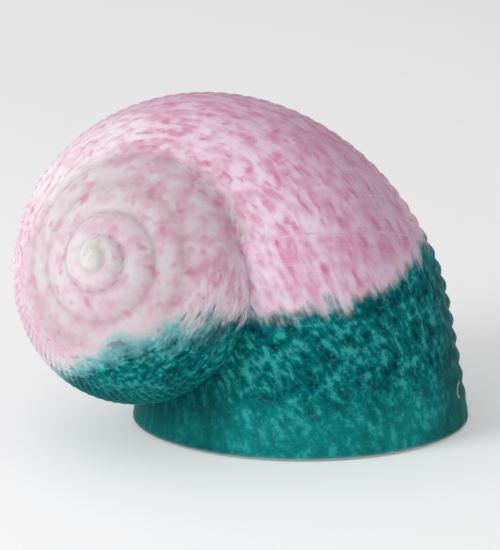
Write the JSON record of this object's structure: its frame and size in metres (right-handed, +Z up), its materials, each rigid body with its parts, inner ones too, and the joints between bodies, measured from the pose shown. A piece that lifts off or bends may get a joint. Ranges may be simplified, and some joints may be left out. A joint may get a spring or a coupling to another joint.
{
  "type": "accent lamp",
  "caption": "Cordless accent lamp: a hollow cast-glass snail shell that stands on its open mouth, with a battery LED unit clipped inside the mouth.",
  "frame": {"origin": "on the table, under the middle of the whole shell's bounding box", "axes": "+Z up, the mouth faces -Z, the spire faces -Y and leans to -X, +X towards the body whorl's outer side"},
  "size_m": [0.1492, 0.0982, 0.1082],
  "materials": {
    "cast_glass": "frosted kiln-cast glass, pink and white above, teal below",
    "white_plastic": "fine spark-eroded texture",
    "frosted_plastic": "translucent satin",
    "steel": "zinc plated",
    "nickel": "nickel plated spring steel",
    "foot_rubber": "matte moulded",
    "board_white": "white solder mask",
    "led_phosphor": "clear silicone over yellow phosphor",
    "cell_jacket": "printed film over a steel can",
    "black_plastic": "moulded",
    "red_wire": "insulated wire",
    "black_wire": "insulated wire"
  },
  "bodies": {
    "light_unit": {"base_pan": "white_plastic", "top_cover": "white_plastic", "cover_screw_1": "steel", "cover_screw_2": "steel", "cover_screw_3": "steel", "cover_screw_4": "steel", "spring_clip_1": "steel", "spring_clip_2": "steel", "spring_clip_3": "steel", "spring_clip_4": "steel", "clip_screw_1": "steel", "clip_screw_2": "steel", "clip_screw_3": "steel", "clip_screw_4": "steel", "door_hinge_pin": "steel", "battery_cell_1": "cell_jacket", "battery_cell_2": "cell_jacket", "battery_cell_3": "cell_jacket", "contact_negative": "nickel", "contact_bridge_1": "nickel", "contact_bridge_2": "nickel", "contact_positive": "nickel", "lead_positive": "red_wire", "lead_negative": "black_wire", "switch_body": "black_plastic", "led_board": "board_white", "board_screw_1": "steel", "board_screw_2": "steel", "board_screw_3": "steel", "led_1": "led_phosphor", "led_2": "led_phosphor", "led_3": "led_phosphor", "led_4": "led_phosphor", "led_5": "led_phosphor", "led_6": "led_phosphor", "diffuser": "frosted_plastic", "foot_1": "foot_rubber", "foot_2": "foot_rubber", "foot_3": "foot_rubber", "foot_4": "foot_rubber"},
    "shell": {"glass_shell": "cast_glass"},
    "door": {"battery_door": "white_plastic", "door_screw": "steel"},
    "switch": {"switch_slider": "black_plastic"}
  },
  "joints": [
    {"name": "shell_lift", "type": "slide", "parent": "light_unit", "child": "shell", "axis": [0, 0, 1], "range_m": [0, 0.06]},
    {"name": "battery_door_hinge", "type": "hinge", "parent": "light_unit", "child": "door", "pos_m": [0.0197, -0.01666, 0.0038], "axis": [-1, 0, 0], "range_deg": [0, 100]},
    {"name": "switch_slide", "type": "slide", "parent": "light_unit", "child": "switch", "axis": [1, 0, 0], "range_m": [0, 0.004]}
  ]
}
